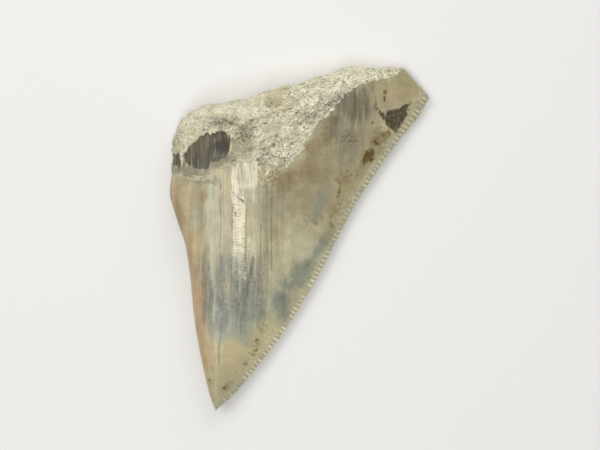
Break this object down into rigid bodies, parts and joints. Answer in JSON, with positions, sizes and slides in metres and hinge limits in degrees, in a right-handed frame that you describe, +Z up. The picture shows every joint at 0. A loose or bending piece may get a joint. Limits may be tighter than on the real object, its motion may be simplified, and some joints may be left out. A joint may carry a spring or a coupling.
{
  "type": "fossil shark tooth",
  "caption": "Fossil tooth of a large shark: a flattened triangular blade with a finely serrated cutting edge, a blunt worn side and a rough root broken off at a slant.",
  "frame": {"origin": "Middle of the bounding box in plan, on the surface that the tooth lies on.", "axes": "+Z up, out of the rounded face; +Y along the tooth from its tip to the broken root; +X to the serrated cutting edge."},
  "size_m": [0.0402, 0.0542, 0.0117],
  "materials": {
    "tooth": "satin mottled enamel with fine upright streaks, and a pale dry porous root"
  },
  "bodies": {
    "root": {"tooth": "tooth"}
  },
  "joints": []
}
